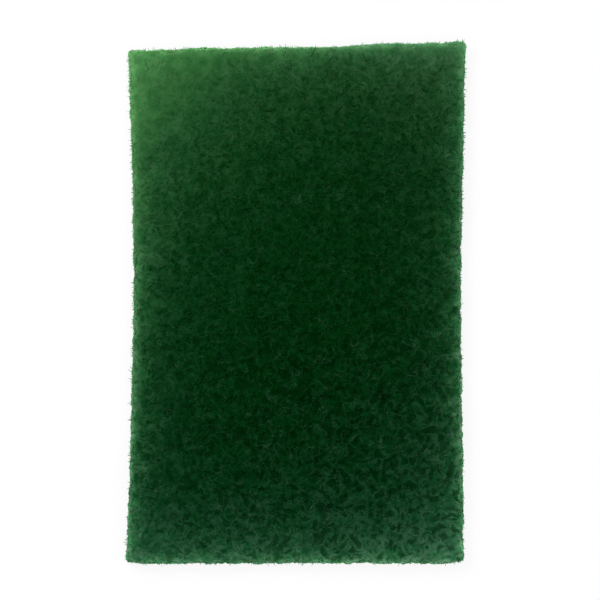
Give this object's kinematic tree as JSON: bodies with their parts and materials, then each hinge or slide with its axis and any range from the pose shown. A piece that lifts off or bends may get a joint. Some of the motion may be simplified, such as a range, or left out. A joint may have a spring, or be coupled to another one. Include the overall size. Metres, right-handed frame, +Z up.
{
  "type": "scouring pad",
  "caption": "Flat rectangular scouring pad of bonded coarse fibre web, with pressed faces, nipped cut edges and sides that draw in slightly. For scrubbing by hand.",
  "frame": {"origin": "under the middle of the pad's bounding box, on the surface that it lies on", "axes": "+Y along the pad's length towards the head edge, +X across it to the right, +Z up through its thickness"},
  "size_m": [0.1524, 0.235, 0.008],
  "materials": {
    "fibre_web": "dull dark green nonwoven web of coarse curled fibre under resin and fine grit, paler at the cut edges"
  },
  "bodies": {
    "root": {"scouring_pad": "fibre_web"}
  },
  "joints": []
}
